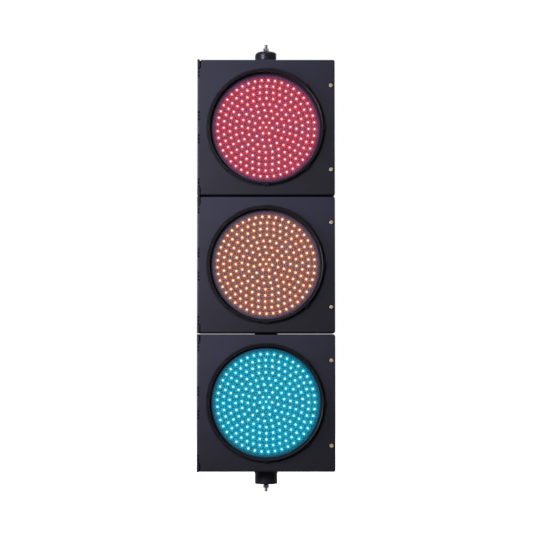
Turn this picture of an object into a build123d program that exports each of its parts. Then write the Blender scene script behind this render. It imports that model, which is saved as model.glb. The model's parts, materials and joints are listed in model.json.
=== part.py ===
"""Three-section LED traffic signal head, clamped between two brackets by an M8 stud at each end.

Millimetres, +Z up. The lenses face -Y and +X is on the right of someone looking at them. The origin
is the centre of the lower hub's seating face, on the vertical axis that both studs share. One
section is modelled about its own centre and then placed at each of the three heights.
"""
from math import cos, radians, sin
import os

from build123d import *

# ---- the whole head
SECTIONS = ("green", "amber", "red")  # from the bottom up
MODULE_TWIST = {"green": 0.6, "amber": -1.5, "red": -0.75}  # how far each module sits off square, degrees
PITCH = 355.0  # height of one section, and the width of the head
WIDTH = PITCH
HUB_HEIGHT = 33.0  # seating face of the lower hub to the edge of the lowest section
UPPER_HUB_HEIGHT = 29.0
TOP = HUB_HEIGHT + PITCH * len(SECTIONS) + UPPER_HUB_HEIGHT  # height of the upper seating face
WALL = 3.0
CORNER = 5.0
CLEAR = 0.05  # radial clearance of every running fit

# ---- depths, measured forwards from the stud axis
FACE = 67.0  # flat front of the doors
DOOR_BACK = 47.0
MOUTH = 46.0  # front edge of the housings
SHOULDER = -55.0  # where the housing starts to narrow
BACK = -73.0

# ---- housing
HOUSING_HEIGHT = 353.0
MOUTH_WIDTH = 296.0
MOUTH_HEIGHT = 318.0
BACK_INSET = 9.0
PAD_RADIUS = 34.0
CABLE_HOLE = 17.0  # radius
FIXING_CIRCLE = 22.0  # radius of the four coupling holes
FIXING_HOLE = 2.75
RIB_XS = (-120.0, -60.0, 60.0, 120.0)
RIB_HEIGHT = 290.0
EAR_HEIGHT = 21.0
TERMINAL_Z = -60.0  # terminal block and its posts, below the section's centre
TERMINAL_POST_X = 30.0
TERMINAL_FACE = -62.0
ENTRY_Z = -120.0
ENTRY_HOLE = 12.0  # radius

# ---- hinge
HINGE_X = -WIDTH / 2 + 3.0
HINGE_DEPTH = FACE - 3.0
PIN = 1.5  # radius
PIN_REACH = 173.0
KNUCKLE = 3.0  # radius
KNUCKLE_MIDDLES = (30.0, 143.5)  # above and below the section's centre
KNUCKLE_LENGTH = 26.0
WINDOW_PITCH = 9.0
NOTCH_WIDTH = 9.0
NOTCH_START = 155.0  # above and below the section's centre

# ---- door
DOOR_HEIGHT = 351.0
EDGE_ROUND = 3.5
SEAL_WIDTH = 302.0  # inside of the door's gasket
SEAL_HEIGHT = 324.0
SEAL_BAND = 6.0
SEAL_SEAT = 53.0  # depth of the gasket's seat
RIB_BACK = 47.5
COLLAR_INNER = 144.6  # radius of the collar and of the tube behind it
COLLAR_RIM = 76.0  # depth of the collar's crest
COLLAR_STEP = 68.4  # depth of the ledge around the collar
TUBE_BACK = 56.0
TUBE_OUTER = 147.8
LUGS = 8
LUG_RADIUS = 149.5

# ---- latch screws
LATCH_X = WIDTH / 2 - 10.0
LATCH_Z = 109.0
RECESS = 6.75  # radius
RECESS_FLOOR = 62.5
WASHER = 1.0
HEAD_FRONT = 67.6
INSERT_LENGTH = 12.0
TIP = 2.2  # radius of the thread's core

# ---- optical module
LENS_OPENING = 141.2  # inner radius of the lens gasket
LENS_EDGE = 147.0
LENS_FRONT = 54.1  # front of the lens flange
LENS_BACK = 51.0
LENS_CREST = 59.6
LENS_CURVE = 1720.0  # radius of the dome
LENS_SPREAD = 4.6  # degrees of arc from the lens axis to the flange
FLANGE_BACK = 48.0
BOARD_FRONT = 41.5
BOARD = 1.6
BOARD_RADIUS = 138.6
CASE_FLOOR = 14.5
CASE_BACK = 12.0
LED_PITCH = 15.7
LED_RINGS = 8
LEDS_PER_RING = 5.68  # times the ring's number
RING_STARTS = (0, 90, 180, 270, 0, 90, 180, 0)
LED = 2.5
LED_HEIGHT = 6.0
BOARD_SCREW_CIRCLE = LED_PITCH * 7.85
BOARD_SCREW_TURNS = (76, 164, 252, 348)  # degrees, each midway between two lamps of the outer ring
DRIVER_SIZE = (92.0, 64.0)
DRIVER_DEPTH = 22.0
CLIP_CIRCLE = 153.0
CLIP_TURNS = (45, 135, 225, 315)
CLIP_DEPTH = 45.5

# ---- hub, stud and couplings
HUB = 29.0  # radius
HUB_GAP = (PITCH - HOUSING_HEIGHT) / 2  # from the edge of a section to its housing
HUB_PLATE = 8.0
HUB_FLARE = 9.0
HUB_EDGE = 1.2  # fillet around the lower seating face
HUB_CROWN = 10.0  # fillet around the upper one
STUD = 4.0  # radius, M8
STUD_REACH = 20.5
HEAD_FLATS = 13.0
HEAD_HEIGHT = 5.3
BUSH = 6.0
BUSH_REACH = 3.7
NUT_HEIGHT = 7.0
NUT_FLATS = 13.0
BOLT = 2.5  # radius, M5
BOLT_LENGTH = 25.0
BOLT_HEAD = 3.5
BOLT_FLATS = 8.0
BOLT_NUT = 4.0
RING_OUTER = 30.0
RING = 2.5
CABLE = 4.0
CABLE_Y = 9.0

UP = (Align.CENTER, Align.CENTER, Align.MIN)
DOWN = (Align.CENTER, Align.CENTER, Align.MAX)


def front(depth):
    """The plane that faces the viewer, this far in front of the stud axis."""
    return Plane.XZ.offset(depth)


def centre_of(section):
    return HUB_HEIGHT + PITCH * (SECTIONS.index(section) + 0.5)


def spots(radius, turns):
    """Points on a circle about the lens axis, at these angles in degrees."""
    return [(radius * cos(radians(turn)), radius * sin(radians(turn))) for turn in turns]


def ring_profile(points):
    """A closed outline of (radius, depth) points, drawn for turning about the lens axis."""
    with BuildLine() as outline:
        Polyline([(radius, -depth) for radius, depth in points], close=True)
    make_face(outline.line)


def hexagon(flats):
    RegularPolygon(flats / 2, 6, major_radius=False)


def frame_outline(width, height, band, corner):
    """A rectangular frame of even width around an opening."""
    RectangleRounded(width + 2 * band, height + 2 * band, corner + band)
    RectangleRounded(width, height, corner, mode=Mode.SUBTRACT)


def save(piece, name, z=0.0):
    placed = piece.moved(Location((0, 0, z)))
    placed.label = name
    export_step(placed, f"parts/{name}.step")


def twisted(piece, section):
    """The piece turned about the lens axis by its section's twist."""
    return piece.rotate(Axis.Y, -MODULE_TWIST[section])


# ---- housing side

def make_housing(has_entry):
    with BuildPart() as housing:
        with BuildSketch(front(SHOULDER)):
            RectangleRounded(WIDTH, HOUSING_HEIGHT, CORNER)
        extrude(amount=MOUTH - SHOULDER)
        with BuildSketch(front(SHOULDER)):
            RectangleRounded(WIDTH, HOUSING_HEIGHT, CORNER)
        with BuildSketch(front(BACK)):
            RectangleRounded(WIDTH - 2 * BACK_INSET, HOUSING_HEIGHT - 2 * BACK_INSET, CORNER)
        loft()
        with BuildSketch(front(SHOULDER)):
            RectangleRounded(WIDTH - 2 * WALL, HOUSING_HEIGHT - 2 * WALL, CORNER - WALL / 2)
        extrude(amount=MOUTH - WALL - SHOULDER, mode=Mode.SUBTRACT)
        inset = 2 * WALL + 2 * BACK_INSET
        with BuildSketch(front(SHOULDER)):
            RectangleRounded(WIDTH - 2 * WALL, HOUSING_HEIGHT - 2 * WALL, CORNER - WALL / 2)
        with BuildSketch(front(BACK + WALL)):
            RectangleRounded(WIDTH - inset, HOUSING_HEIGHT - inset, CORNER - WALL / 2)
        loft(mode=Mode.SUBTRACT)
        with BuildSketch(front(MOUTH)):
            RectangleRounded(MOUTH_WIDTH, MOUTH_HEIGHT, 2 * CORNER)
        extrude(amount=-WALL, mode=Mode.SUBTRACT)
        add_back_ribs()
        add_ears()
        add_coupling_pads()
        add_latch_bosses()
        add_terminal_posts()
        if has_entry:
            with BuildSketch(front(BACK)):
                with Locations((0, ENTRY_Z)):
                    Circle(ENTRY_HOLE)
            extrude(amount=WALL, mode=Mode.SUBTRACT)
    return housing.part


def add_back_ribs():
    with BuildSketch(front(BACK)) as outline:
        with Locations([(x, 0) for x in RIB_XS]):
            SlotOverall(RIB_HEIGHT, WALL, rotation=90)
    extrude(outline.sketch, amount=-WALL)


def add_ears():
    """Two ears reach forwards at the left corners and hold the ends of the hinge pin."""
    with BuildSketch(front(MOUTH)) as outline:
        for side in (-1, 1):
            with Locations((HINGE_X, side * (HOUSING_HEIGHT - EAR_HEIGHT) / 2)):
                RectangleRounded(2 * (HINGE_X + WIDTH / 2), EAR_HEIGHT, 1.5)
    extrude(outline.sketch, amount=FACE - MOUTH)
    with Locations((HINGE_X, -HINGE_DEPTH, PIN_REACH)):
        Cylinder(PIN + CLEAR, HOUSING_HEIGHT, align=DOWN, mode=Mode.SUBTRACT)


def add_coupling_pads():
    """Thickened discs at the top and bottom, with the cable hole and four bolt holes."""
    inner = HOUSING_HEIGHT / 2 - WALL
    with Locations((0, 0, inner)):
        Cylinder(PAD_RADIUS, WALL, align=DOWN)
    with Locations((0, 0, -inner)):
        Cylinder(PAD_RADIUS, WALL, align=UP)
    Cylinder(CABLE_HOLE, HOUSING_HEIGHT, mode=Mode.SUBTRACT)
    with PolarLocations(FIXING_CIRCLE, 4, start_angle=45):
        Cylinder(FIXING_HOLE, HOUSING_HEIGHT, mode=Mode.SUBTRACT)


def add_latch_bosses():
    with BuildSketch(front(MOUTH - WALL)) as outline:
        with Locations((LATCH_X, LATCH_Z), (LATCH_X, -LATCH_Z)):
            Circle(7.5)
    extrude(outline.sketch, amount=-(INSERT_LENGTH + 2 * WALL))
    with BuildSketch(front(MOUTH)) as outline:
        with Locations((LATCH_X, LATCH_Z), (LATCH_X, -LATCH_Z)):
            Circle(4.5)
    extrude(outline.sketch, amount=-INSERT_LENGTH, mode=Mode.SUBTRACT)


def add_terminal_posts():
    with BuildSketch(front(BACK + WALL)) as outline:
        with Locations((-TERMINAL_POST_X, TERMINAL_Z), (TERMINAL_POST_X, TERMINAL_Z)):
            Circle(4)
    extrude(outline.sketch, amount=TERMINAL_FACE - BACK - WALL)


def make_hinge_pin():
    with BuildPart() as pin:
        with Locations((HINGE_X, -HINGE_DEPTH, 0)):
            Cylinder(PIN, 2 * PIN_REACH)
        chamfer(pin.edges().filter_by(GeomType.CIRCLE), 0.3)
    return pin.part


def make_latch_inserts():
    """Brass inserts that the latch screws turn into."""
    with BuildPart() as inserts:
        with BuildSketch(front(MOUTH)):
            with Locations((LATCH_X, LATCH_Z), (LATCH_X, -LATCH_Z)):
                Circle(4.5)
                Circle(3.0, mode=Mode.SUBTRACT)
        extrude(amount=-INSERT_LENGTH)
    return inserts.part


# ---- door side

def make_door():
    with BuildPart() as door:
        with BuildSketch(front(DOOR_BACK)):
            RectangleRounded(WIDTH, DOOR_HEIGHT, CORNER)
        extrude(amount=FACE - DOOR_BACK)
        rim = door.faces().sort_by(Axis.Y)[0].edges()
        fillet(rim, EDGE_ROUND)
        with BuildSketch(front(DOOR_BACK)):
            RectangleRounded(WIDTH - 2 * WALL, DOOR_HEIGHT - 2 * WALL, CORNER - WALL / 2)
            cut_corner_notches(WALL)
        extrude(amount=FACE - WALL - DOOR_BACK, mode=Mode.SUBTRACT)
        with BuildSketch(front(DOOR_BACK)):
            notch_rectangles(0)
        extrude(amount=FACE - DOOR_BACK, mode=Mode.SUBTRACT)
        add_seal_ribs()
        add_collar()
        add_lugs()
        add_knuckles()
        add_latch_tubes()
        add_clip_posts()
    return door.part


def notch_rectangles(margin, mode=Mode.ADD):
    """The two left corners that the door gives up to the housing's ears."""
    width = NOTCH_WIDTH + margin
    height = DOOR_HEIGHT / 2 - NOTCH_START + margin
    for side in (-1, 1):
        with Locations(((width - WIDTH) / 2, side * (DOOR_HEIGHT - height) / 2)):
            Rectangle(width, height, mode=mode)


def cut_corner_notches(margin):
    notch_rectangles(margin, Mode.SUBTRACT)


def add_seal_ribs():
    """A raised frame inside the door, with the channel that the gasket sits in."""
    with BuildSketch(front(FACE - WALL)) as outline:
        frame_outline(SEAL_WIDTH - 4, SEAL_HEIGHT - 4, SEAL_BAND + 4, 4)
    extrude(outline.sketch, amount=RIB_BACK - FACE + WALL)
    with BuildSketch(front(SEAL_SEAT)) as outline:
        frame_outline(SEAL_WIDTH, SEAL_HEIGHT, SEAL_BAND, 6)
    extrude(outline.sketch, amount=RIB_BACK - SEAL_SEAT, mode=Mode.SUBTRACT)


def add_collar():
    """The raised collar that a visor slides over, and the tube behind it that the lens seats on."""
    with BuildSketch(front(FACE)) as outline:
        Circle(COLLAR_INNER)
    extrude(outline.sketch, amount=-WALL, mode=Mode.SUBTRACT)
    with BuildSketch() as outline:
        ring_profile([
            (COLLAR_INNER, TUBE_BACK), (COLLAR_INNER, 74.8), (145.8, COLLAR_RIM), (147.0, COLLAR_RIM),
            (148.2, COLLAR_STEP), (151.6, COLLAR_STEP), (152.2, 66.0), (TUBE_OUTER, 66.0),
            (TUBE_OUTER, TUBE_BACK),
        ])
    revolve(outline.sketch, axis=Axis.Y)
    for inner, outer in ((148.4, 150.0), (152.0, 153.6)):
        with BuildSketch(front(COLLAR_STEP)) as outline:
            Circle(outer)
            Circle(inner, mode=Mode.SUBTRACT)
        extrude(outline.sketch, amount=65.8 - COLLAR_STEP, mode=Mode.SUBTRACT)


def add_lugs():
    """Slotted lugs around the collar, which lock a visor's keyhole slots."""
    with BuildSketch(front(FACE)) as outline:
        with PolarLocations(LUG_RADIUS, LUGS):
            Rectangle(5, 13)
    extrude(outline.sketch, amount=6.5)
    with BuildSketch(front(FACE + 6.5)) as outline:
        with PolarLocations(LUG_RADIUS + 1.5, LUGS):
            Rectangle(3.5, 3)
    extrude(outline.sketch, amount=-3.5, mode=Mode.SUBTRACT)


def add_knuckles():
    """Barrels along the left edge, cored by windows that show the hinge pin."""
    with Locations([(HINGE_X, -HINGE_DEPTH, side * z) for z in KNUCKLE_MIDDLES for side in (-1, 1)]):
        Cylinder(KNUCKLE, KNUCKLE_LENGTH - 3)
    middles = [z + step * WINDOW_PITCH for z in KNUCKLE_MIDDLES for step in (-1, 0, 1)]
    with BuildSketch(front(FACE)) as outline:
        with Locations([(HINGE_X + 0.5, side * z) for z in middles for side in (-1, 1)]):
            Rectangle(5, 5)
    extrude(outline.sketch, amount=-6.5, mode=Mode.SUBTRACT)
    with Locations((HINGE_X, -HINGE_DEPTH, 0)):
        Cylinder(PIN + CLEAR, DOOR_HEIGHT, mode=Mode.SUBTRACT)


def add_latch_tubes():
    places = [(LATCH_X, LATCH_Z), (LATCH_X, -LATCH_Z)]
    with BuildSketch(front(FACE - WALL)) as outline:
        with Locations(places):
            Circle(8.5)
    extrude(outline.sketch, amount=DOOR_BACK - FACE + WALL)
    with BuildSketch(front(FACE)) as outline:
        with Locations(places):
            Circle(RECESS)
    extrude(outline.sketch, amount=RECESS_FLOOR - FACE, mode=Mode.SUBTRACT)
    with BuildSketch(front(FACE)) as outline:
        with Locations(places):
            Circle(3 + CLEAR)
    extrude(outline.sketch, amount=DOOR_BACK - FACE, mode=Mode.SUBTRACT)


def add_clip_posts():
    with BuildSketch(front(FACE - WALL)) as outline:
        with Locations(spots(CLIP_CIRCLE, CLIP_TURNS)):
            Circle(5.5)
    extrude(outline.sketch, amount=FLANGE_BACK - FACE + WALL)
    with BuildSketch(front(FLANGE_BACK)) as outline:
        with Locations(spots(CLIP_CIRCLE, CLIP_TURNS)):
            Circle(1.25 + CLEAR)
    extrude(outline.sketch, amount=9, mode=Mode.SUBTRACT)


def make_door_gasket():
    with BuildPart() as gasket:
        with BuildSketch(front(SEAL_SEAT)):
            frame_outline(SEAL_WIDTH, SEAL_HEIGHT, SEAL_BAND, 6)
        extrude(amount=MOUTH - SEAL_SEAT)
    return gasket.part


def make_latch_screw():
    """A slotted captive screw, drawn about the lens axis; its tip has the radius of the thread's core."""
    with BuildPart() as screw:
        with BuildSketch():
            seat = RECESS_FLOOR + WASHER
            ring_profile([
                (0, MOUTH - 10), (TIP - 0.6, MOUTH - 10), (TIP, MOUTH - 9), (TIP, DOOR_BACK), (3, DOOR_BACK),
                (3, seat), (5, seat), (5, HEAD_FRONT - 1), (4, HEAD_FRONT), (0, HEAD_FRONT),
            ])
        revolve(axis=Axis.Y)
        with BuildSketch(front(HEAD_FRONT)):
            Rectangle(12, 1.6)
        extrude(amount=-1.6, mode=Mode.SUBTRACT)
    return screw.part


def make_latch_washer():
    with BuildPart() as washer:
        with BuildSketch(front(RECESS_FLOOR)):
            Circle(6.2)
            Circle(3 + CLEAR, mode=Mode.SUBTRACT)
        extrude(amount=WASHER)
    return washer.part


def make_lens():
    """A shallow dome with a flat flange."""
    with BuildPart() as lens:
        with BuildSketch():
            with BuildLine():
                outer = JernArc((0, -LENS_CREST), (1, 0), LENS_CURVE, LENS_SPREAD)
                inner = JernArc((0, WALL - LENS_CREST), (1, 0), LENS_CURVE, LENS_SPREAD)
                Polyline(outer @ 1, (LENS_EDGE, (outer @ 1).Y), (LENS_EDGE, -LENS_BACK), inner @ 1)
                Line(inner @ 0, outer @ 0)
            make_face()
        revolve(axis=Axis.Y)
    return lens.part


def make_lens_gasket():
    with BuildPart() as gasket:
        with BuildSketch(front(LENS_FRONT)):
            Circle(LENS_EDGE)
            Circle(LENS_OPENING, mode=Mode.SUBTRACT)
        extrude(amount=TUBE_BACK - LENS_FRONT)
    return gasket.part


def make_module_case():
    """The shallow pan behind the lens, with posts for the two circuit boards and a plug socket."""
    with BuildPart() as case:
        with BuildSketch():
            ring_profile([
                (0, CASE_BACK), (135, CASE_BACK), (140, 17), (142.2, FLANGE_BACK), (LENS_EDGE, FLANGE_BACK),
                (LENS_EDGE, LENS_BACK), (139.8, LENS_BACK), (137.6, 18), (134, CASE_FLOOR), (0, CASE_FLOOR),
            ])
        revolve(axis=Axis.Y)
        with BuildSketch(front(CASE_FLOOR)):
            with Locations(spots(BOARD_SCREW_CIRCLE, BOARD_SCREW_TURNS)):
                Circle(4)
        extrude(amount=BOARD_FRONT - BOARD - CASE_FLOOR)
        with BuildSketch(front(BOARD_FRONT - BOARD)):
            with Locations(spots(BOARD_SCREW_CIRCLE, BOARD_SCREW_TURNS)):
                Circle(1.25 + CLEAR)
        extrude(amount=-10, mode=Mode.SUBTRACT)
        with BuildSketch(front(CASE_FLOOR)):
            with GridLocations(DRIVER_SIZE[0] - 12, DRIVER_SIZE[1] - 12, 2, 2):
                Circle(3)
        extrude(amount=DRIVER_DEPTH - CASE_FLOOR)
        with BuildSketch(front(CASE_BACK)):
            with Locations((0, TERMINAL_Z)):
                RectangleRounded(30, 16, 2)
        extrude(amount=-8)
        with BuildSketch(front(CASE_BACK - 8)):
            with Locations((0, TERMINAL_Z)):
                RectangleRounded(26, 12, 1)
        extrude(amount=6, mode=Mode.SUBTRACT)
    return case.part


def make_led_board():
    with BuildPart() as board:
        with BuildSketch(front(BOARD_FRONT - BOARD)):
            Circle(BOARD_RADIUS)
            with Locations(spots(BOARD_SCREW_CIRCLE, BOARD_SCREW_TURNS)):
                Circle(1.7, mode=Mode.SUBTRACT)
        extrude(amount=BOARD)
    return board.part


def make_leds():
    """One lamp at the centre and eight rings around it, each lamp a separate solid."""
    with BuildPart() as lamp:
        with BuildSketch():
            with BuildLine():
                Polyline((0, 0), (LED + 0.4, 0), (LED + 0.4, -1), (LED, -1), (LED, LED - LED_HEIGHT))
                RadiusArc((LED, LED - LED_HEIGHT), (0, -LED_HEIGHT), LED)
                Line((0, -LED_HEIGHT), (0, 0))
            make_face()
        revolve(axis=Axis.Y)
    places = [Location((0, -BOARD_FRONT, 0))]
    for ring in range(1, LED_RINGS + 1):
        with Locations(front(BOARD_FRONT)):
            polar = PolarLocations(ring * LED_PITCH, round(ring * LEDS_PER_RING), RING_STARTS[ring - 1])
            places += [Location(spot.position) for spot in polar.locations]
    return Compound(children=[lamp.part.solid().moved(place) for place in places])


def pan_head_screws(depth, places, direction):
    """Four M3 x 9 pan-head screws: heads in front of a depth, or behind it if direction is -1."""
    with BuildPart() as screws:
        with BuildSketch():
            ring_profile([
                (0, -9), (1.25, -9), (1.25, 0), (2.75, 0), (2.75, 1.3), (2.2, 1.8), (0, 1.8),
            ])
        revolve(axis=Axis.Y)
    upright = screws.part if direction > 0 else screws.part.rotate(Axis.Z, 180)
    return [upright.solid().moved(Location((x, -depth, z))) for x, z in places]


def make_module_screws(section):
    """The screws of the LED board and of the clips are the same."""
    board = pan_head_screws(BOARD_FRONT, spots(BOARD_SCREW_CIRCLE, BOARD_SCREW_TURNS), 1)
    clips = pan_head_screws(CLIP_DEPTH, spots(CLIP_CIRCLE, CLIP_TURNS), -1)
    return Compound(children=[*[twisted(screw, section) for screw in board], *clips])


def make_driver_board():
    """The power supply board with its transformer, capacitors and fuse."""
    with BuildPart() as driver:
        with BuildSketch(front(DRIVER_DEPTH)):
            Rectangle(*DRIVER_SIZE)
        extrude(amount=BOARD)
        with BuildSketch(front(DRIVER_DEPTH + BOARD)):
            with Locations((-18, 2)):
                RectangleRounded(26, 24, 2)
        extrude(amount=13)
        with BuildSketch(front(DRIVER_DEPTH + BOARD)):
            with Locations((14, 15), (28, 15), (14, -16)):
                Circle(5)
        extrude(amount=12)
        with BuildSketch(front(DRIVER_DEPTH + BOARD)):
            with Locations((32, -14)):
                SlotOverall(18, 5)
            with Locations((-30, -22), (-30, 24)):
                Rectangle(14, 6)
        extrude(amount=5)
    return driver.part


def make_clips():
    """Four straps that press the module's flange towards the door."""
    with BuildPart() as clips:
        with BuildSketch(front(CLIP_DEPTH)):
            with PolarLocations(CLIP_CIRCLE - 1.5, 4, start_angle=45):
                RectangleRounded(18, 14, 2)
            with Locations(spots(CLIP_CIRCLE, CLIP_TURNS)):
                Circle(1.7, mode=Mode.SUBTRACT)
        extrude(amount=FLANGE_BACK - CLIP_DEPTH)
    return clips.part


# ---- hubs, studs and couplings

def make_hub(height, edge):
    """A cup that widens where it stands on the end section's wall, its seating face at the bottom."""
    wall = height + HUB_GAP
    with BuildPart() as hub:
        Cylinder(HUB, wall, align=UP)
        fillet(hub.faces().sort_by(Axis.Z)[0].edges(), edge)
        with Locations((0, 0, wall)):
            Cone(HUB, HUB + 2.6, HUB_FLARE, align=DOWN)
            Cylinder(CABLE_HOLE - 0.2, WALL, align=UP)
        with Locations((0, 0, HUB_PLATE)):
            Cylinder(14, wall, align=UP, mode=Mode.SUBTRACT)
        Cylinder(BUSH, HUB_PLATE, align=UP, mode=Mode.SUBTRACT)
        with Locations((0, 0, wall + 2 * WALL - BOLT_LENGTH - 0.5)):
            with PolarLocations(FIXING_CIRCLE, 4, start_angle=45):
                Cylinder(BOLT + CLEAR, wall, align=UP, mode=Mode.SUBTRACT)
    return hub.part


def make_stud():
    """An M8 hexagon bolt whose head sits inside the hub. A small run-out groove ends its free length."""
    with BuildPart() as stud:
        with BuildSketch(Plane.XY.offset(HUB_PLATE)):
            hexagon(HEAD_FLATS)
        extrude(amount=HEAD_HEIGHT)
        with Locations((0, 0, HUB_PLATE)):
            Cylinder(STUD, HUB_PLATE + STUD_REACH, align=DOWN)
        chamfer(stud.faces().sort_by(Axis.Z)[0].edges(), 1)
        with BuildSketch(Plane.XY.offset(-BUSH_REACH - NUT_HEIGHT)):
            Circle(STUD)
            Circle(STUD - 0.5, mode=Mode.SUBTRACT)
        extrude(amount=0.8, mode=Mode.SUBTRACT)
    return stud.part


def make_bush():
    with BuildPart() as bush:
        with BuildSketch(Plane.XY.offset(HUB_PLATE)):
            Circle(BUSH)
            Circle(STUD + CLEAR, mode=Mode.SUBTRACT)
        extrude(amount=-HUB_PLATE - BUSH_REACH)
    return bush.part


def make_stud_nut():
    """A hexagon nut with both ends turned to a chamfer."""
    with BuildPart() as nut:
        with BuildSketch(Plane.XY.offset(-BUSH_REACH)):
            hexagon(NUT_FLATS)
            Circle(STUD + CLEAR, mode=Mode.SUBTRACT)
        extrude(amount=-NUT_HEIGHT)
        with BuildSketch(Plane.XZ):
            with BuildLine():
                top = -BUSH_REACH
                low = top - NUT_HEIGHT
                Polyline(
                    (0, top), (NUT_FLATS / 2 - 0.4, top), (NUT_FLATS / 2 + 1.4, top - 1),
                    (NUT_FLATS / 2 + 1.4, low + 1), (NUT_FLATS / 2 - 0.4, low), (0, low), close=True,
                )
            make_face()
        revolve(axis=Axis.Z, mode=Mode.INTERSECT)
    return nut.part


def at_both_ends(lower, upper=None):
    """One piece at the lower hub, and the same or another one upside down at the upper hub."""
    turned = (upper or lower).rotate(Axis.X, 180).moved(Location((0, 0, TOP)))
    return Compound(children=[lower, turned])


def junctions():
    return [HUB_HEIGHT + PITCH, HUB_HEIGHT + 2 * PITCH]


def make_coupling_gaskets():
    with BuildPart() as gaskets:
        with Locations([(0, 0, z) for z in junctions()]):
            Cylinder(RING_OUTER, PITCH - HOUSING_HEIGHT)
            Cylinder(CABLE_HOLE + 0.5, PITCH - HOUSING_HEIGHT, mode=Mode.SUBTRACT)
            with PolarLocations(FIXING_CIRCLE, 4, start_angle=45):
                Cylinder(FIXING_HOLE, PITCH, mode=Mode.SUBTRACT)
    return gaskets.part


def plate_heights():
    """Middle of each coupling plate: one above and one below the walls of each junction."""
    offset = (PITCH - HOUSING_HEIGHT) / 2 + 2 * WALL + RING / 2
    return [z + side * offset for z in junctions() for side in (-1, 1)]


def make_coupling_plates():
    with BuildPart() as plates:
        with Locations([(0, 0, z) for z in plate_heights()]):
            Cylinder(RING_OUTER, RING)
            Cylinder(CABLE_HOLE + 0.5, RING, mode=Mode.SUBTRACT)
            with PolarLocations(FIXING_CIRCLE, 4, start_angle=45):
                Cylinder(FIXING_HOLE, RING, mode=Mode.SUBTRACT)
    return plates.part


def hex_bolts(seats, direction):
    """M5 bolts on the fixing circle, heads on the given heights and shanks towards direction."""
    with BuildPart() as bolts:
        for seat in seats:
            with BuildSketch(Plane.XY.offset(seat)):
                with PolarLocations(FIXING_CIRCLE, 4, start_angle=45):
                    hexagon(BOLT_FLATS)
            extrude(amount=-direction * BOLT_HEAD)
            with BuildSketch(Plane.XY.offset(seat)):
                with PolarLocations(FIXING_CIRCLE, 4, start_angle=45):
                    Circle(BOLT)
            extrude(amount=direction * BOLT_LENGTH)
    return bolts.part


def make_m5_bolts():
    """Eight bolts couple the sections and eight hold the hubs; all sixteen are the same."""
    upper_seats = plate_heights()[1::2]
    couplings = hex_bolts([z + RING / 2 for z in upper_seats], -1)
    lower_hub = hex_bolts([HUB_HEIGHT + HUB_GAP + 2 * WALL], -1)
    upper_hub = hex_bolts([TOP - UPPER_HUB_HEIGHT - HUB_GAP - 2 * WALL], 1)
    solids = [*couplings.solids(), *lower_hub.solids(), *upper_hub.solids()]
    return Compound(children=solids)


def make_m5_nuts():
    with BuildPart() as nuts:
        for z in plate_heights()[0::2]:
            with BuildSketch(Plane.XY.offset(z - RING / 2)):
                with PolarLocations(FIXING_CIRCLE, 4, start_angle=45):
                    hexagon(BOLT_FLATS)
                    Circle(BOLT + CLEAR, mode=Mode.SUBTRACT)
            extrude(amount=-BOLT_NUT)
    return nuts.part


# ---- wiring

def make_terminal_block():
    """A row of wells for the incoming wires, screwed on the lowest housing's posts."""
    with BuildPart() as block:
        with BuildSketch(front(TERMINAL_FACE)):
            with Locations((0, TERMINAL_Z)):
                RectangleRounded(92, 26, 2)
        extrude(amount=14)
        with BuildSketch(front(TERMINAL_FACE + 14)):
            with Locations((0, TERMINAL_Z)):
                with GridLocations(11, 13, 7, 2):
                    Circle(3.2)
        extrude(amount=-9, mode=Mode.SUBTRACT)
    return block.part


def make_wiring_loom():
    """The cable from the terminal block up through the coupling holes, with a plug in each section."""
    start = centre_of("green") + TERMINAL_Z + 13
    block_y = -TERMINAL_FACE - 7
    with BuildPart() as loom:
        with BuildLine():
            run = FilletPolyline(
                (0, block_y, start), (0, block_y, start + 45), (0, CABLE_Y, start + 105),
                (0, CABLE_Y, centre_of("red")), radius=30,
            )
        with BuildSketch(Plane(origin=run @ 0, z_dir=run % 0)):
            Circle(CABLE)
        sweep()
        with Locations([(0, CABLE_Y, centre_of(section) + 100) for section in SECTIONS[:2]]):
            Box(22, 12, 16)
        with Locations((0, CABLE_Y, centre_of("red"))):
            Box(22, 12, 16)
    return loom.part


def make_cable_entry():
    """A rubber grommet in the lowest housing's back wall."""
    with BuildPart() as grommet:
        with BuildSketch(front(BACK + WALL)):
            Circle(ENTRY_HOLE + 4)
        extrude(amount=2)
        with BuildSketch(front(BACK + WALL)):
            Circle(ENTRY_HOLE)
        extrude(amount=-WALL)
        with BuildSketch(front(BACK)):
            Circle(ENTRY_HOLE + 4)
        extrude(amount=-2)
        with BuildSketch(front(BACK + WALL + 2)):
            Circle(7)
        extrude(amount=-WALL - 4, mode=Mode.SUBTRACT)
    return grommet.part


def save_sections():
    """Writes the pieces that every section has."""
    door_pieces = {
        "door": make_door(),
        "door_gasket": make_door_gasket(),
        "lens": make_lens(),
        "lens_gasket": make_lens_gasket(),
        "module_clips": make_clips(),
    }
    module_pieces = {
        "module_case": make_module_case(),
        "led_board": make_led_board(),
        "leds": make_leds(),
        "driver_board": make_driver_board(),
    }
    latches = {"latch_screw": make_latch_screw(), "latch_washer": make_latch_washer()}
    plain_housing = make_housing(has_entry=False)
    entry_housing = make_housing(has_entry=True)
    for section in SECTIONS:
        centre = centre_of(section)
        save(entry_housing if section == "green" else plain_housing, f"housing_{section}", centre)
        for name, piece in door_pieces.items():
            save(piece, f"{name}_{section}", centre)
        for name, piece in module_pieces.items():
            save(twisted(piece, section), f"{name}_{section}", centre)
        save(make_module_screws(section), f"module_screws_{section}", centre)
        for name, piece in latches.items():
            for level, z in (("upper", LATCH_Z), ("lower", -LATCH_Z)):
                save(piece.moved(Location((LATCH_X, 0, 0))), f"{name}_{section}_{level}", centre + z)


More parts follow.
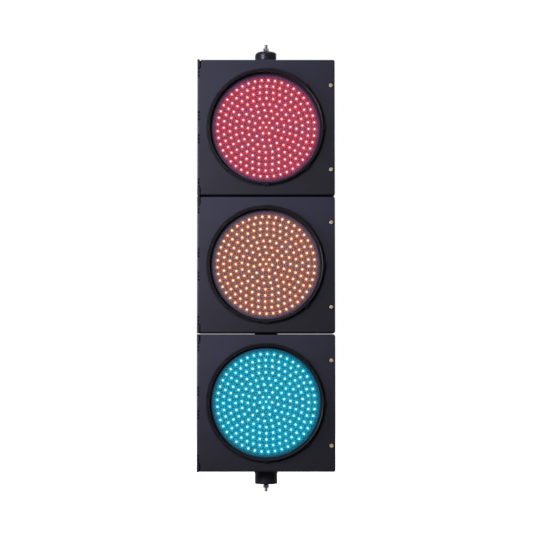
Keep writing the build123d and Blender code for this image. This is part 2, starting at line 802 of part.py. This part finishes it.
def save_per_section_groups():
    """Hinge pins and latch inserts are the same in every section, and share a node each."""
    for name, piece in (("hinge_pins", make_hinge_pin()), ("latch_inserts", make_latch_inserts())):
        copies = [s.moved(Location((0, 0, centre_of(c)))) for c in SECTIONS for s in piece.solids()]
        save(Compound(children=copies), name)


def save_shared_pieces():
    save(at_both_ends(make_hub(HUB_HEIGHT, HUB_EDGE), make_hub(UPPER_HUB_HEIGHT, HUB_CROWN)), "mounting_hubs")
    save(at_both_ends(make_stud()), "mounting_studs")
    save(at_both_ends(make_bush()), "seal_bushes")
    save(at_both_ends(make_stud_nut()), "stud_nuts")
    save(make_coupling_gaskets(), "coupling_gaskets")
    save(make_coupling_plates(), "coupling_plates")
    save(make_m5_bolts(), "m5_bolts")
    save(make_m5_nuts(), "m5_nuts")
    save(make_terminal_block(), "terminal_block", centre_of("green"))
    save(make_wiring_loom(), "wiring_loom")
    save(make_cable_entry(), "cable_grommet", centre_of("green") + ENTRY_Z)


os.makedirs("parts", exist_ok=True)
save_sections()
save_per_section_groups()
save_shared_pieces()
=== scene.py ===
"""Looks of a three-section LED traffic signal head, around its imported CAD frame.

Lengths are in metres, and the lenses face -Y.
"""
import json
import math

import bpy
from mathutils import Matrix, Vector


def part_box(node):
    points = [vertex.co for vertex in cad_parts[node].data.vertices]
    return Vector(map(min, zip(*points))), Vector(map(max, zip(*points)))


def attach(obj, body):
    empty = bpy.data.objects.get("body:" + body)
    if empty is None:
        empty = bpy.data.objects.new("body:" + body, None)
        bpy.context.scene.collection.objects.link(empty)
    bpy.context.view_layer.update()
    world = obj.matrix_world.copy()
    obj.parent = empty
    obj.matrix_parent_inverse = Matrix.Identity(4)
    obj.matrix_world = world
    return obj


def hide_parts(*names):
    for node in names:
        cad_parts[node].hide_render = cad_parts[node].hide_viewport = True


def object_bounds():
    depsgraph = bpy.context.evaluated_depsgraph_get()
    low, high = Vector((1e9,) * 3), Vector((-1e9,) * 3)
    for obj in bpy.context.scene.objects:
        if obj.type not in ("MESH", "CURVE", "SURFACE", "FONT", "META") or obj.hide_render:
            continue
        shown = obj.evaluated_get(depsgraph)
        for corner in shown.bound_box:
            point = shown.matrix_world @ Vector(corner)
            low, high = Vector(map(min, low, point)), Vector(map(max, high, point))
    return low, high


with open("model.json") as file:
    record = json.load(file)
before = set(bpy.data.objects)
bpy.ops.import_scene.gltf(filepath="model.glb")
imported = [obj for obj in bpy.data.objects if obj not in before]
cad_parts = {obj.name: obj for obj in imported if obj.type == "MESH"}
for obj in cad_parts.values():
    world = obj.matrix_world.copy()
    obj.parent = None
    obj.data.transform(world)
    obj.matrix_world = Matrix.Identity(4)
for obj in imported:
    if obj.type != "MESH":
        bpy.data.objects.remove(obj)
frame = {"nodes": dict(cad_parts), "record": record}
cad_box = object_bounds()

SECTIONS = ("green", "amber", "red")

# ---- the lamps on each board, and the driver board, as part.py places them
LED_PITCH = 0.0157  # from one ring of lamps to the next
LED_RINGS = 8
LEDS_PER_RING = 5.68  # times the ring's number, rounded, gives the lamps in a ring
MODULE_TWIST = {"green": 0.6, "amber": -1.5, "red": -0.75}  # degrees
LED_TIP = -0.0475  # Y of a lamp's tip
LED_SHOULDER = -0.0452  # Y where its dome begins
DRIVER_FACE = -0.0237  # Y of the driver board's front. Its components stand in front of that

# ---- the painted light around each lamp, glowing on its board as the lens optics would draw it
RAYS = 10
RAY_WIDTH = 0.0009  # each of these three is where the light has faded to 1/e
RAY_REACH = 0.0085
HALO = 0.0026
LAMP_WHITE = 0.0012  # a lamp is white over this much of its tip
LAMP_STRENGTH = 1.15

# ---- the doors
DOOR_PITCH = 0.355
DOOR_FOOT = 0.033  # Z of the bottom of the lowest section
COLLAR_EDGE = 0.1536
COLLAR_BLEND = 0.0006
DOOR_FLAT = 0.1762  # half of the width of the textured face
DOOR_FLAT_TOP = 0.1738  # how far that face reaches above the section's middle
DOOR_FLAT_FOOT = 0.1752  # and below it
DOOR_EDGE_BLEND = 0.0012
PAINTED_LIGHT_SLANT = -0.35  # painted light: the faces are palest towards the upper left, where the key light falls
PAINTED_SHADE_FADE = 1.6  # painted shade: change of tone in each metre away from there
DOOR_SPECKLE = 0.25
DOOR_FLOW = 0.5

# ---- surfaces in general
NOISE_LOW = 0.3  # most of a noise lies between these two
NOISE_HIGH = 0.7
PLASTIC_SHEEN = 0.42
GRAIN_DEPTH = 0.00012
FINE_GRAIN_DEPTH = 0.00005
TOOL_MARK_DEPTH = 0.00004
TRACK_REACH = 0.06  # half of a copper track's width, where a cell is about 1 across

# ---- the studs
STUD = 0.004  # radius of the M8 thread's crest
THREAD_PITCH = 0.00125
THREAD_DEPTH = 0.0007
THREAD_SLOPE = 2.6  # shares of the depth that a flank drops for one share of the pitch
THREAD_FLAT = 0.2  # taken off that drop, which leaves the crest flat
THREAD_CHAMFER = 0.001
THREAD_SIDES = 40
THREAD_STEPS = 6  # rings of vertices in one pitch
HEAD_SEAT = 0.008  # from the hub's seating face to the underside of the head, inside the hub
HEAD_HEIGHT = 0.0053
HEAD_FLATS = 0.0065  # half of the size across flats
HEAD_CHAMFER = 0.0008
HEAD_CROWN = 0.82  # size of the head's top face, as a share of the head

# ---- the stage
FLOOR_REACH = 9.0
FLOOR_GLOW = 0.86
WHITE = (1.0, 1.0, 1.0, 1.0)
FLOOR_PAINT = (0.8, 0.8, 0.8, 1.0)
FILL_COLOUR = (0.86, 0.88, 1.0, 1.0)
FILL_LOW = 0.06  # strength of the fill from below
FILL_TOP = 0.2  # and from above
FILL_BEHIND = 0.3  # added to it behind the head
LIGHTS = (  # name, place, target, diameter, power in watts, colour
    ("key", (-1.8, -2.6, 1.6), (0.0, 0.0, 0.6), 1.2, 70.0, (0.86, 0.85, 1.0)),
    ("top", (0.2, 0.3, 2.6), (0.0, 0.0, 0.5), 1.2, 5.0, (1.0, 1.0, 1.0)),
    ("back", (1.4, 2.2, 1.4), (0.0, 0.0, 0.6), 1.2, 26.0, (0.95, 0.97, 1.0)),
    ("strip", (-1.1, -0.5, 0.6), (0.0, 0.0, 0.6), 0.5, 9.0, (1.0, 0.94, 0.9)),
)
CAMERA_PLACE = (0.001, -4.067, 0.340)
CAMERA_TILT = 92.5  # degrees from straight down
CAMERA_SENSOR = 36.0  # this and the lens in millimetres
CAMERA_LENS = 105.3
CAMERA_SHIFT = 0.0335
CAMERA_REACH = 60.0


def srgb(red, green, blue):
    """A linear RGBA colour from 8-bit display values."""

    def linear(value):
        share = value / 255
        return share / 12.92 if share <= 0.04045 else ((share + 0.055) / 1.055) ** 2.4

    return (linear(red), linear(green), linear(blue), 1.0)


class Nodes:
    """The node tree of a new material, or of the world, and short calls that build it."""

    def __init__(self, name, owner=None):
        self.owner = owner or bpy.data.materials.new(name)
        self.owner.use_nodes = True
        self.tree = self.owner.node_tree
        self.tree.nodes.clear()
        kind = "Generated" if owner else "Object"
        self.place = self.add("ShaderNodeTexCoord").outputs[kind]

    def add(self, kind, inputs=None, **settings):
        node = self.tree.nodes.new(kind)
        for key, value in settings.items():
            setattr(node, key, value)
        for key, value in (inputs or {}).items():
            self.feed(node.inputs[key], value)
        return node

    def feed(self, socket, value):
        if isinstance(value, bpy.types.NodeSocket):
            self.tree.links.new(value, socket)
        else:
            socket.default_value = value

    def math(self, operation, *values):
        return self.add("ShaderNodeMath", dict(enumerate(values)), operation=operation).outputs[0]

    def length(self, first, second):
        """The square root of the sum of two squares."""
        squares = (self.math("MULTIPLY", value, value) for value in (first, second))
        return self.math("SQRT", self.math("ADD", *squares))

    def falloff(self, share):
        """A smooth bell: 1 at zero and 1/e at 1."""
        return self.math("EXPONENT", self.math("MULTIPLY", self.math("MULTIPLY", share, share), -1.0))

    def weighed(self, first, second, share):
        """The first value for a share, and the second for the rest."""
        return self.math("MULTIPLY_ADD", first, share, self.math("MULTIPLY", second, 1 - share))

    def scaled(self, sizes):
        """The object coordinates, stretched by a factor along each axis."""
        return self.add("ShaderNodeMapping", {"Vector": self.place, "Scale": sizes}).outputs[0]

    def noise(self, scale, detail=4.0, place=None):
        inputs = {"Vector": place or self.place, "Scale": scale, "Detail": detail}
        return self.add("ShaderNodeTexNoise", inputs).outputs["Fac"]

    def cell_edges(self, scale):
        """The distance to the nearest edge in a pattern of irregular cells."""
        inputs = {"Vector": self.place, "Scale": scale}
        return self.add("ShaderNodeTexVoronoi", inputs, feature="DISTANCE_TO_EDGE").outputs["Distance"]

    def span(self, value, low, high, to_low, to_high):
        inputs = {"Value": value, "From Min": low, "From Max": high, "To Min": to_low, "To Max": to_high}
        return self.add("ShaderNodeMapRange", inputs).outputs["Result"]

    def vary(self, noise, low, high):
        """A value from low to high that follows a noise."""
        return self.span(noise, NOISE_LOW, NOISE_HIGH, low, high)

    def ramp(self, value, *stops):
        """Colours along a value: each stop is (place, linear colour)."""
        node = self.add("ShaderNodeValToRGB", {"Fac": value})
        elements = node.color_ramp.elements
        while len(elements) < len(stops):
            elements.new(1.0)
        for element, (place, colour) in zip(elements, stops):
            element.position = place
            element.color = colour
        return node.outputs["Color"]

    def mix(self, share, first, second):
        """The first colour, or the second where the share is 1."""
        inputs = {0: share, 6: first, 7: second}  # 6 and 7 are the node's colour sockets
        return self.add("ShaderNodeMix", inputs, data_type="RGBA").outputs[2]

    def bump(self, height, distance, strength, under=None):
        inputs = {"Height": height, "Distance": distance, "Strength": strength}
        if under:
            inputs["Normal"] = under
        return self.add("ShaderNodeBump", inputs).outputs["Normal"]

    def finish(self, **inputs):
        """Ends the tree with one principled shader. Names use _ for a space."""
        named = {key.replace("_", " "): value for key, value in inputs.items()}
        shader = self.add("ShaderNodeBsdfPrincipled", named)
        self.add("ShaderNodeOutputMaterial", {"Surface": shader.outputs[0]})
        return self.owner


# ---- materials

def moulded_plastic(name, dark, light, roughness, grain):
    """Dark moulded plastic: faint flow marks, and a spark-eroded grain of this many cells in a metre."""
    n = Nodes(name)
    flow = n.noise(9.0, 3.0)
    speckle = n.noise(grain / 3, 2.0)
    tone = n.weighed(speckle, flow, 0.35)
    pits = n.bump(n.noise(grain, 3.0), GRAIN_DEPTH, 0.55)
    waves = n.bump(flow, 0.0006, 0.4, pits)
    return n.finish(
        Base_Color=n.ramp(tone, (0.36, dark), (0.64, light)),
        Roughness=n.vary(speckle, roughness - 0.06, roughness + 0.08),
        Normal=waves, Specular_IOR_Level=PLASTIC_SHEEN,
    )


def door_finish(name, dark, light, collar_and_edge_shade):
    """Textured door faces with painted light, paler towards the upper left of each section. Collar and edges
    are smooth and painted in a darker shade.
    """
    n = Nodes(name)
    split = n.add("ShaderNodeSeparateXYZ", {0: n.place})
    rise = n.math("MODULO", n.math("SUBTRACT", split.outputs["Z"], DOOR_FOOT), DOOR_PITCH)
    up = n.math("SUBTRACT", rise, DOOR_PITCH / 2)
    across = split.outputs["X"]
    radius = n.length(up, across)
    # painted light: the tone rises upwards and leftwards within each section, as if lit from the upper left
    from_painted_light = n.math("MULTIPLY_ADD", across, PAINTED_LIGHT_SLANT, up)
    flow = n.noise(8.0, 3.0)
    speckle = n.noise(360.0, 2.0)
    mottle = n.math("MULTIPLY_ADD", speckle, DOOR_SPECKLE, n.math("MULTIPLY", flow, DOOR_FLOW))
    tone = n.math("MULTIPLY_ADD", from_painted_light, PAINTED_SHADE_FADE, mottle)
    face = n.ramp(tone, (0.1, dark), (0.7, light))
    shift = (DOOR_FLAT_FOOT - DOOR_FLAT_TOP) / 2
    spare = DOOR_FLAT - (DOOR_FLAT_FOOT + DOOR_FLAT_TOP) / 2
    upright = n.math("ADD", n.math("ABSOLUTE", n.math("ADD", up, shift)), spare)
    from_middle = n.math("MAXIMUM", n.math("ABSOLUTE", across), upright)
    inside = n.span(from_middle, DOOR_FLAT, DOOR_FLAT + DOOR_EDGE_BLEND, 1.0, 0.0)
    outside = n.span(radius, COLLAR_EDGE - COLLAR_BLEND, COLLAR_EDGE, 0.0, 1.0)
    # painted shade: off the textured face, on the collar and the door's edges, the colour turns to the
    # darker shade
    unshaded_grained_face = n.math("MULTIPLY", inside, outside)
    rough = n.math("MULTIPLY_ADD", unshaded_grained_face, 0.1, n.vary(speckle, 0.34, 0.46))
    grain = n.math("MULTIPLY", n.noise(1100.0, 3.0), unshaded_grained_face)
    return n.finish(
        Base_Color=n.mix(unshaded_grained_face, collar_and_edge_shade, face), Roughness=rough, Specular_IOR_Level=PLASTIC_SHEEN,
        Normal=n.bump(flow, 0.0005, 0.4, n.bump(grain, GRAIN_DEPTH, 0.5)),
    )


def rubber(name, colour, roughness):
    """Dark rubber or sheathing with a paler bloom in patches."""
    n = Nodes(name)
    grain = n.noise(1400.0, 2.0)
    bloom = n.noise(40.0, 4.0)
    pale = tuple(min(1.0, 1.7 * c) for c in colour[:3]) + (1.0,)
    return n.finish(
        Base_Color=n.ramp(bloom, (0.4, colour), (0.75, pale)),
        Roughness=n.vary(grain, roughness - 0.08, roughness + 0.08),
        Normal=n.bump(grain, 0.00008, 0.6), Specular_IOR_Level=0.3,
    )


def plain_plastic(name, dark, light, roughness):
    """Smooth plastic of a slightly uneven colour."""
    n = Nodes(name)
    cloud = n.noise(60.0, 3.0)
    grain = n.noise(1800.0, 2.0)
    return n.finish(
        Base_Color=n.ramp(cloud, (0.35, dark), (0.65, light)),
        Roughness=n.vary(grain, roughness - 0.07, roughness + 0.07),
        Normal=n.bump(grain, FINE_GRAIN_DEPTH, 0.5),
    )


def worked_metal(name, dark, light, roughness, stretch, mark, metallic=1.0):
    """Metal with fine tool marks drawn out along one axis, and a clouded plating."""
    n = Nodes(name)
    marks = n.noise(mark, 5.0, n.scaled(stretch))
    cloud = n.noise(260.0, 3.0)
    tone = n.weighed(marks, cloud, 0.4)
    return n.finish(
        Base_Color=n.ramp(tone, (0.35, dark), (0.65, light)), Metallic=metallic,
        Roughness=n.vary(marks, roughness - 0.08, roughness + 0.12),
        Normal=n.bump(marks, TOOL_MARK_DEPTH, 0.5),
    )


def driver_board_finish(name):
    """Green solder mask with copper tracks under it, and dark components that stand in front of it."""
    n = Nodes(name)
    depth = n.add("ShaderNodeSeparateXYZ", {0: n.place}).outputs["Y"]
    on_part = n.math("LESS_THAN", depth, DRIVER_FACE)
    tracks = n.math("LESS_THAN", n.cell_edges(170.0), TRACK_REACH)
    mask = n.ramp(tracks, (0.0, srgb(16, 74, 44)), (1.0, srgb(38, 112, 66)))
    parts = n.ramp(n.noise(45.0, 2.0), (0.45, srgb(26, 28, 34)), (0.6, srgb(50, 54, 66)))
    return n.finish(
        Base_Color=n.mix(on_part, mask, parts), Roughness=n.vary(n.noise(300.0), 0.28, 0.45),
        Normal=n.bump(tracks, TOOL_MARK_DEPTH, 0.6),
    )


def lens_finish(name, tint, painted_glow):
    """Clear tinted polycarbonate with a faint orange-peel skin, and a painted glow of reflected and
    scattered light, though the lens is no lamp.
    """
    n = Nodes(name)
    skin = n.noise(70.0, 2.0)
    haze = n.noise(25.0, 3.0)
    return n.finish(
        Base_Color=tint, Transmission_Weight=1.0, IOR=1.49,
        Roughness=n.vary(haze, 0.0, 0.012), Normal=n.bump(skin, TOOL_MARK_DEPTH, 0.1),
        Emission_Color=painted_glow, Emission_Strength=n.vary(haze, 0.9, 1.1),
        Specular_IOR_Level=0.25,
    )


def lamp_finish(name, hot, rim):
    """A lit LED: white-hot at its tip, its own colour lower down."""
    n = Nodes(name)
    depth = n.add("ShaderNodeSeparateXYZ", {0: n.place}).outputs["Y"]
    tip = n.span(depth, LED_SHOULDER, LED_TIP + LAMP_WHITE, 0.0, 1.0)
    return n.finish(
        Base_Color=rim, Roughness=n.vary(n.noise(900.0), 0.1, 0.2),
        Emission_Color=n.ramp(tip, (0.0, rim), (0.55, hot), (1.0, WHITE)),
        Emission_Strength=LAMP_STRENGTH,
    )


def lamp_light(n, radius, turn, ring, index):
    """Painted light on the board from one lamp of a ring: a round halo and thin rays, given as emission.

    Index 0 is the nearest lamp before this place on the ring, and index 1 is the one after it.
    """
    count = n.math("MAXIMUM", n.math("ROUND", n.math("MULTIPLY", ring, LEDS_PER_RING)), 1.0)
    step = n.math("DIVIDE", math.tau, count)
    # each ring starts a quarter turn on from the one inside it, but the last starts at zero
    quarter = n.math("MODULO", n.math("SUBTRACT", ring, 1.0), 4.0)
    not_last = n.math("LESS_THAN", ring, LED_RINGS - 0.5)
    start = n.math("MULTIPLY", n.math("MULTIPLY", quarter, math.pi / 2), not_last)
    from_start = n.math("SUBTRACT", turn, start)
    nearest = n.math("ADD", n.math("FLOOR", n.math("DIVIDE", from_start, step)), index)
    aside = n.math("SUBTRACT", from_start, n.math("MULTIPLY", nearest, step))
    out = n.math("SUBTRACT", n.math("MULTIPLY", radius, n.math("COSINE", aside)),
                 n.math("MULTIPLY", ring, LED_PITCH))
    along = n.math("MULTIPLY", radius, n.math("SINE", aside))
    far = n.length(out, along)
    halo = n.falloff(n.math("DIVIDE", far, HALO))
    beside = n.math("PINGPONG", n.math("ARCTAN2", along, out), math.pi / RAYS)
    width = n.math("DIVIDE", n.math("MULTIPLY", beside, far), RAY_WIDTH)
    fade = n.math("EXPONENT", n.math("DIVIDE", far, -RAY_REACH))
    rays = n.math("MULTIPLY", n.falloff(width), fade)
    # ring 0 is the one lamp in the middle, so only index 0 counts there
    is_ring = n.math("LESS_THAN", ring, LED_RINGS + 0.5)
    is_new = is_ring if index == 0 else n.math("MULTIPLY", is_ring, n.math("MINIMUM", ring, 1.0))
    return n.math("MULTIPLY", n.math("ADD", halo, rays), is_new)


def board_finish(name, section, centre, mask, stops):
    """Dark solder mask with painted light: the halos and rays of the lamps that stand on it glow on it."""
    n = Nodes(name)
    split = n.add("ShaderNodeSeparateXYZ", {0: n.place})
    x = split.outputs["X"]
    z = n.math("SUBTRACT", split.outputs["Z"], centre)
    radius = n.length(x, z)
    turn = n.math("SUBTRACT", n.math("ARCTAN2", z, x), math.radians(MODULE_TWIST[section]))
    inner = n.math("FLOOR", n.math("DIVIDE", radius, LED_PITCH))
    outer = n.math("ADD", inner, 1.0)
    light = 0.0
    for ring in (inner, outer):
        for index in (0, 1):
            light = n.math("ADD", light, lamp_light(n, radius, turn, ring, index))
    # the painted light is made uneven in patches
    patches = n.vary(n.noise(120.0, 1.0), 0.82, 1.12)
    light = n.math("MULTIPLY", light, patches)
    return n.finish(
        Base_Color=mask, Roughness=n.vary(n.noise(400.0), 0.35, 0.5),
        Normal=n.bump(n.noise(700.0, 2.0), FINE_GRAIN_DEPTH, 0.4),
        Emission_Color=n.ramp(light, *stops), Emission_Strength=1.0,
    )


finishes = {
    "housing_plastic": moulded_plastic("housing_plastic", srgb(26, 26, 33), srgb(42, 41, 51), 0.5, 900.0),
    # the last colour is the painted shade of the collar and the door's edges
    "door_plastic": door_finish("door_plastic", srgb(32, 31, 39), srgb(52, 51, 68), srgb(27, 26, 31)),
    "hub_plastic": moulded_plastic("hub_plastic", srgb(34, 33, 40), srgb(48, 47, 57), 0.34, 1300.0),
    "module_plastic": moulded_plastic("module_plastic", srgb(20, 20, 25), srgb(34, 33, 40), 0.5, 1000.0),
    "seal_rubber": rubber("seal_rubber", srgb(18, 17, 19), 0.72),
    "washer_nylon": plain_plastic("washer_nylon", srgb(26, 26, 30), srgb(44, 43, 47), 0.45),
    "clip_steel": worked_metal(
        "clip_steel", srgb(150, 152, 156), srgb(196, 197, 200), 0.3, (1, 1, 9), 240.0),
    "black_steel": worked_metal("black_steel", srgb(20, 20, 22), srgb(34, 33, 36), 0.4, (1, 1, 9), 300.0),
    "zinc_steel": worked_metal(
        "zinc_steel", srgb(188, 188, 190), srgb(232, 230, 228), 0.34, (1, 1, 6), 320.0),
    "yellow_zinc": worked_metal(
        "yellow_zinc", srgb(176, 132, 64), srgb(214, 184, 104), 0.28, (1, 6, 1), 600.0),
    "brass": worked_metal("brass", srgb(232, 206, 150), srgb(255, 244, 212), 0.42, (6, 1, 1), 500.0, 0.5),
    "terminal_plastic": plain_plastic("terminal_plastic", srgb(196, 190, 172), srgb(216, 211, 196), 0.42),
    "driver_board": driver_board_finish("driver_board"),
    "cable_sheath": rubber("cable_sheath", srgb(34, 34, 37), 0.5),
}
LENS_TINTS = {"green": (0.9, 0.98, 0.99, 1), "amber": (0.98, 0.96, 0.95, 1), "red": (0.98, 0.95, 0.96, 1)}
# painted glow of each lens: reflected and scattered light, given as emission
LENS_PAINTED_GLOWS = {"green": srgb(1, 26, 36), "amber": srgb(14, 14, 22), "red": srgb(15, 11, 22)}
LAMPS = {
    "green": (srgb(150, 250, 255), srgb(0, 190, 215)),
    "amber": (srgb(255, 214, 140), srgb(246, 130, 40)),
    "red": (srgb(255, 190, 170), srgb(236, 50, 58)),
}
BOARD_MASKS = {"green": srgb(2, 16, 22), "amber": srgb(14, 14, 21), "red": srgb(16, 12, 21)}
# colours of the painted light that glows on each board, from no lamp light to the most; even the first one
# glows
BOARD_PAINTED_LIGHT_STOPS = {
    "green": (
        (0.0, srgb(8, 68, 92)), (0.06, srgb(4, 82, 108)), (0.15, srgb(0, 104, 132)),
        (0.3, srgb(0, 152, 184)), (0.5, srgb(0, 188, 218)), (0.9, srgb(80, 226, 242)),
    ),
    "amber": (
        (0.0, srgb(56, 54, 78)), (0.06, srgb(70, 60, 80)), (0.15, srgb(88, 68, 78)),
        (0.3, srgb(138, 84, 76)), (0.5, srgb(200, 112, 62)), (0.9, srgb(252, 178, 98)),
    ),
    "red": (
        (0.0, srgb(58, 40, 76)), (0.06, srgb(84, 40, 76)), (0.15, srgb(116, 44, 76)),
        (0.3, srgb(182, 52, 74)), (0.5, srgb(232, 62, 72)), (0.9, srgb(255, 122, 112)),
    ),
}
for section in SECTIONS:
    low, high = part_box(f"led_board_{section}")
    middle = (low.z + high.z) / 2
    finishes[f"lens_{section}"] = lens_finish(f"lens_{section}", LENS_TINTS[section], LENS_PAINTED_GLOWS[section])
    finishes[f"led_{section}"] = lamp_finish(f"led_{section}", *LAMPS[section])
    finishes[f"board_{section}"] = board_finish(
        f"board_{section}", section, middle, BOARD_MASKS[section], BOARD_PAINTED_LIGHT_STOPS[section])

for part in frame["record"]["subparts"]:
    mesh = frame["nodes"][part["node"]].data
    mesh.materials.clear()
    mesh.materials.append(finishes[part["material_slot"]])


# ---- pieces

def thread_radius(turns, along, length):
    """Radius of a rolled thread: crest, flank, root, flank, and a chamfer at the free end."""
    phase = (along / THREAD_PITCH - turns) % 1.0
    drop = min(1.0, max(0.0, abs(phase - 0.5) * THREAD_SLOPE - THREAD_FLAT))
    lead = STUD - THREAD_CHAMFER + max(0.0, length - along)
    return min(STUD - THREAD_DEPTH * drop, lead)


def head_radius(angle):
    """Distance from the axis to the side of the hexagon head."""
    sixth = math.tau / 6
    return HEAD_FLATS / math.cos((angle + sixth / 2) % sixth - sixth / 2)


def add_ring(vertices, faces, ring):
    """Adds a closed ring of vertices and, unless it is the first, the band back to the one before."""
    start = len(vertices)
    vertices.extend(ring)
    if start:
        for side in range(THREAD_SIDES):
            follow = (side + 1) % THREAD_SIDES
            back = start - THREAD_SIDES
            faces.append((back + side, back + follow, start + follow, start + side))


def make_stud(name, seat, tip):
    """A hexagon bolt with a rolled thread, from its head inside the hub to its free tip."""
    sign = 1 if tip > seat else -1
    shoulder = seat - sign * HEAD_SEAT
    length = abs(tip - shoulder)
    angles = [sign * math.tau * side / THREAD_SIDES for side in range(THREAD_SIDES)]
    vertices = []
    faces = []
    profile = ((HEAD_CROWN, HEAD_HEIGHT), (1.0, HEAD_HEIGHT - HEAD_CHAMFER), (1.0, 0.0))
    for share, back in profile:
        z = shoulder - sign * back
        radii = [share * head_radius(a) for a in angles]
        add_ring(vertices, faces, [(r * math.cos(a), r * math.sin(a), z) for r, a in zip(radii, angles)])
    rings = round(length / THREAD_PITCH * THREAD_STEPS)
    for step in range(rings + 1):
        along = length * step / rings
        z = shoulder + sign * along
        radii = [thread_radius(side / THREAD_SIDES, along, length) for side in range(THREAD_SIDES)]
        add_ring(vertices, faces, [(r * math.cos(a), r * math.sin(a), z) for r, a in zip(radii, angles)])
    faces.append(tuple(reversed(range(THREAD_SIDES))))
    faces.append(tuple(range(len(vertices) - THREAD_SIDES, len(vertices))))
    mesh = bpy.data.meshes.new(name)
    mesh.from_pydata(vertices, [], faces)
    mesh.validate()
    stud = bpy.data.objects.new(name, mesh)
    bpy.context.scene.collection.objects.link(stud)
    mesh.materials.append(finishes["zinc_steel"])
    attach(stud, "head")
    return stud


stud_low, stud_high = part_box("mounting_studs")
hub_low, hub_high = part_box("mounting_hubs")
lower_stud = make_stud("stud_lower", hub_low.z, stud_low.z)
upper_stud = make_stud("stud_upper", hub_high.z, stud_high.z)
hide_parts("mounting_studs")
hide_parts("mounting_studs")


# ---- stage

def area_light(name, place, target, size, power, colour):
    """A round light that shines from its place towards the target."""
    lamp = bpy.data.lights.new(name, "AREA")
    lamp.shape = "DISK"
    lamp.size = size
    lamp.energy = power
    lamp.color = colour
    holder = bpy.data.objects.new(name, lamp)
    bpy.context.scene.collection.objects.link(holder)
    holder.location = place
    away = holder.location - Vector(target)
    holder.rotation_mode = "QUATERNION"
    holder.rotation_quaternion = away.to_track_quat("Z", "Y")


floor_level = cad_box[0].z
floor_mesh = bpy.data.meshes.new("floor")
corners = [(x * FLOOR_REACH, y * FLOOR_REACH, floor_level) for x, y in ((-1, -1), (1, -1), (1, 1), (-1, 1))]
floor_mesh.from_pydata(corners, [], [(0, 1, 2, 3)])
floor = bpy.data.objects.new("floor", floor_mesh)
bpy.context.scene.collection.objects.link(floor)
paint = Nodes("floor_paint")
floor_mesh.materials.append(paint.finish(
    Base_Color=FLOOR_PAINT, Roughness=paint.vary(paint.noise(3.0), 0.85, 0.95),
    Emission_Color=WHITE, Emission_Strength=FLOOR_GLOW, Specular_IOR_Level=0.1,
))
floor.visible_diffuse = False
floor.visible_glossy = False
floor.visible_transmission = False

world = bpy.data.worlds.new("studio")
bpy.context.scene.world = world
sky = Nodes("studio", world)
direction = sky.add("ShaderNodeSeparateXYZ", {0: sky.place})
overhead = sky.span(direction.outputs["Z"], -0.3, 0.9, FILL_LOW, FILL_TOP)
behind = sky.span(direction.outputs["Y"], -0.1, 1.0, 0.0, FILL_BEHIND)
fill = sky.add("ShaderNodeBackground", {"Color": FILL_COLOUR, "Strength": sky.math("ADD", overhead, behind)})
shown = sky.add("ShaderNodeBackground", {"Color": WHITE, "Strength": 1.0})
seen = sky.add("ShaderNodeLightPath").outputs["Is Camera Ray"]
either = sky.add("ShaderNodeMixShader", {0: seen, 1: fill.outputs[0], 2: shown.outputs[0]})
sky.add("ShaderNodeOutputWorld", {"Surface": either.outputs[0]})

for light in LIGHTS:
    area_light(*light)

camera_data = bpy.data.cameras.new("camera")
camera_data.sensor_width = CAMERA_SENSOR
camera_data.lens = CAMERA_LENS
camera_data.shift_y = CAMERA_SHIFT
camera_data.clip_end = CAMERA_REACH
camera = bpy.data.objects.new("camera", camera_data)
bpy.context.scene.collection.objects.link(camera)
camera.location = CAMERA_PLACE
camera.rotation_euler = (math.radians(CAMERA_TILT), 0.0, 0.0)
bpy.context.scene.camera = camera
bpy.context.scene.view_settings.view_transform = "Standard"
